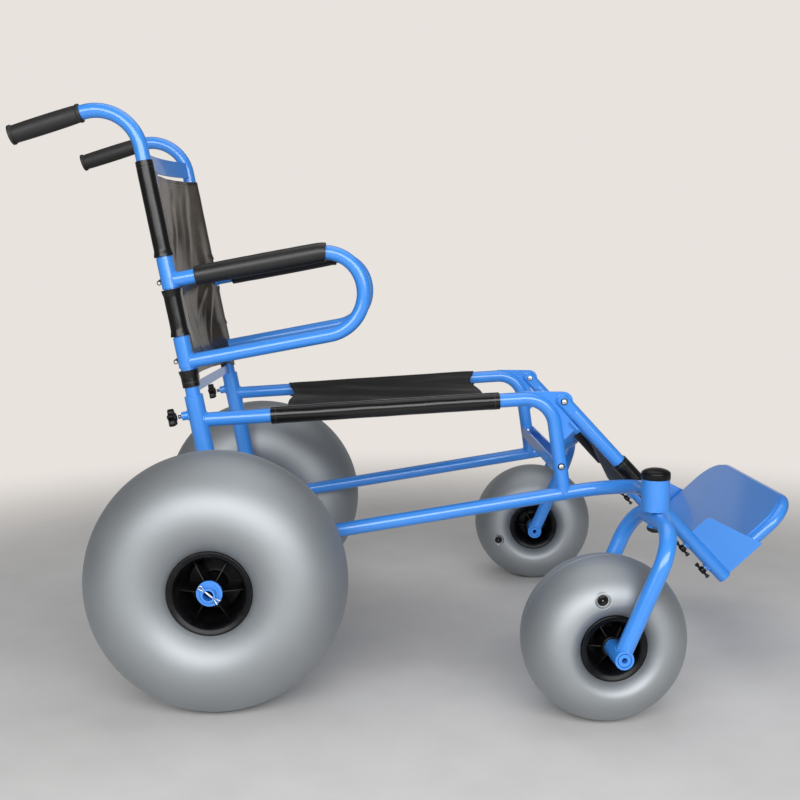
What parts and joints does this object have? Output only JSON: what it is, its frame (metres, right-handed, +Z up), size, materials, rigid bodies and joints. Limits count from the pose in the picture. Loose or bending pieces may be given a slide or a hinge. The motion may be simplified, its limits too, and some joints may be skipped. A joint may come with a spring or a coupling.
{
  "type": "beach wheelchair",
  "caption": "Beach wheelchair with a blue tube frame, balloon wheels, swivelling casters, cloth sling seat and back, swing-away armrests and a tilting legrest.",
  "frame": {"origin": "on the floor at the middle of the length and width", "axes": "+X forward, +Y to the rider's left, +Z up"},
  "size_m": [1.539, 1.1582, 1.1269],
  "materials": {
    "blue_paint": "glossy medium-blue powder coat",
    "balloon_skin": "satin silver-grey polyurethane",
    "black_plastic": "satin black moulded plastic",
    "black_rubber": "matt black rubber and foam",
    "sling_cloth": "black coated cloth with a soft sheen",
    "bright_steel": "bright zinc-plated steel"
  },
  "bodies": {
    "frame": {"seat_rail_right": "blue_paint", "seat_rail_left": "blue_paint", "lower_rail_right": "blue_paint", "lower_rail_left": "blue_paint", "back_socket_right": "blue_paint", "back_socket_left": "blue_paint", "rear_axle": "blue_paint", "axle_washers": "blue_paint", "axle_pins": "bright_steel", "front_channel": "blue_paint", "channel_bolts": "bright_steel", "pivot_bolts": "bright_steel", "caster_caps": "black_plastic", "caster_bearings": "bright_steel", "seat_sling": "sling_cloth"},
    "backrest": {"back_post_right": "blue_paint", "back_post_left": "blue_paint", "push_grip_right": "black_rubber", "push_grip_left": "black_rubber", "top_band": "blue_paint", "back_cross_bar": "blue_paint", "back_sling": "sling_cloth"},
    "legrest": {"hanger_right": "blue_paint", "hanger_left": "blue_paint", "calf_strap": "sling_cloth"},
    "footplate_slider": {"footplate": "blue_paint", "footplate_border": "blue_paint"},
    "rear_wheel_right": {"rear_tyre_right": "balloon_skin", "rear_hub_right": "black_plastic", "rear_valve_right": "black_plastic"},
    "caster_right": {"caster_fork_right": "blue_paint", "kingpin_right": "bright_steel", "front_axle_right": "blue_paint", "front_spacers_right": "blue_paint"},
    "front_wheel_right": {"front_tyre_right": "balloon_skin", "front_hub_right": "black_plastic", "front_valve_right": "black_plastic"},
    "arm_right": {"armrest_right": "blue_paint", "arm_pad_right": "black_rubber", "ring_pins_right": "bright_steel"},
    "back_clamp_right": {"back_knob_right": "black_plastic"},
    "upper_clamp_right": {"upper_clamp_knob_right": "black_plastic"},
    "lower_clamp_right": {"lower_clamp_knob_right": "black_plastic"},
    "rear_wheel_left": {"rear_tyre_left": "balloon_skin", "rear_hub_left": "black_plastic", "rear_valve_left": "black_plastic"},
    "caster_left": {"caster_fork_left": "blue_paint", "kingpin_left": "bright_steel", "front_axle_left": "blue_paint", "front_spacers_left": "blue_paint"},
    "front_wheel_left": {"front_tyre_left": "balloon_skin", "front_hub_left": "black_plastic", "front_valve_left": "black_plastic"},
    "arm_left": {"armrest_left": "blue_paint", "arm_pad_left": "black_rubber", "ring_pins_left": "bright_steel"},
    "back_clamp_left": {"back_knob_left": "black_plastic"},
    "upper_clamp_left": {"upper_clamp_knob_left": "black_plastic"},
    "lower_clamp_left": {"lower_clamp_knob_left": "black_plastic"}
  },
  "joints": [
    {"name": "backrest_lift", "type": "slide", "parent": "frame", "child": "backrest", "axis": [-0.1771, 0, 0.9842], "range_m": [0, 0.12]},
    {"name": "legrest_tilt", "type": "hinge", "parent": "frame", "child": "legrest", "pos_m": [0.29207, 0, 0.55089], "axis": [0, -1, 0], "range_deg": [0, 90]},
    {"name": "footplate_slide", "type": "slide", "parent": "legrest", "child": "footplate_slider", "axis": [-0.6756, 0, 0.7373], "range_m": [0, 0.055]},
    {"name": "rear_wheel_right_spin", "type": "hinge", "parent": "frame", "child": "rear_wheel_right", "pos_m": [-0.37393, -0.385, 0.24], "axis": [0, 1, 0], "continuous": true},
    {"name": "caster_right_swivel", "type": "hinge", "parent": "frame", "child": "caster_right", "pos_m": [0.42425, -0.443, 0.40543], "axis": [0, 0, 1], "continuous": true},
    {"name": "front_wheel_right_spin", "type": "hinge", "parent": "caster_right", "child": "front_wheel_right", "pos_m": [0.33161, -0.45111, 0.148], "axis": [-0.0872, 0.9962, 0], "continuous": true},
    {"name": "arm_right_swing", "type": "hinge", "parent": "backrest", "child": "arm_right", "pos_m": [-0.44488, -0.24, 0.63435], "axis": [0.1771, 0, -0.9842], "range_deg": [0, 90]},
    {"name": "back_clamp_right_turn", "type": "hinge", "parent": "frame", "child": "back_clamp_right", "pos_m": [-0.48569, -0.24, 0.52235], "axis": [-0.9842, 0, -0.1771], "range_deg": [0, 360]},
    {"name": "upper_clamp_right_turn", "type": "hinge", "parent": "legrest", "child": "upper_clamp_right", "pos_m": [0.53743, -0.24, 0.25353], "axis": [-0.7373, 0, -0.6756], "range_deg": [0, 360]},
    {"name": "lower_clamp_right_turn", "type": "hinge", "parent": "legrest", "child": "lower_clamp_right", "pos_m": [0.57864, -0.24, 0.20856], "axis": [-0.7373, 0, -0.6756], "range_deg": [0, 360]},
    {"name": "rear_wheel_left_spin", "type": "hinge", "parent": "frame", "child": "rear_wheel_left", "pos_m": [-0.37393, 0.385, 0.24], "axis": [0, 1, 0], "continuous": true},
    {"name": "caster_left_swivel", "type": "hinge", "parent": "frame", "child": "caster_left", "pos_m": [0.42425, 0.443, 0.40543], "axis": [0, 0, 1], "continuous": true},
    {"name": "front_wheel_left_spin", "type": "hinge", "parent": "caster_left", "child": "front_wheel_left", "pos_m": [0.33161, 0.45111, 0.148], "axis": [0.0872, 0.9962, 0], "continuous": true},
    {"name": "arm_left_swing", "type": "hinge", "parent": "backrest", "child": "arm_left", "pos_m": [-0.44488, 0.24, 0.63435], "axis": [-0.1771, 0, 0.9842], "range_deg": [0, 90]},
    {"name": "back_clamp_left_turn", "type": "hinge", "parent": "frame", "child": "back_clamp_left", "pos_m": [-0.48569, 0.24, 0.52235], "axis": [-0.9842, 0, -0.1771], "range_deg": [0, 360]},
    {"name": "upper_clamp_left_turn", "type": "hinge", "parent": "legrest", "child": "upper_clamp_left", "pos_m": [0.53743, 0.24, 0.25353], "axis": [-0.7373, 0, -0.6756], "range_deg": [0, 360]},
    {"name": "lower_clamp_left_turn", "type": "hinge", "parent": "legrest", "child": "lower_clamp_left", "pos_m": [0.57864, 0.24, 0.20856], "axis": [-0.7373, 0, -0.6756], "range_deg": [0, 360]}
  ]
}
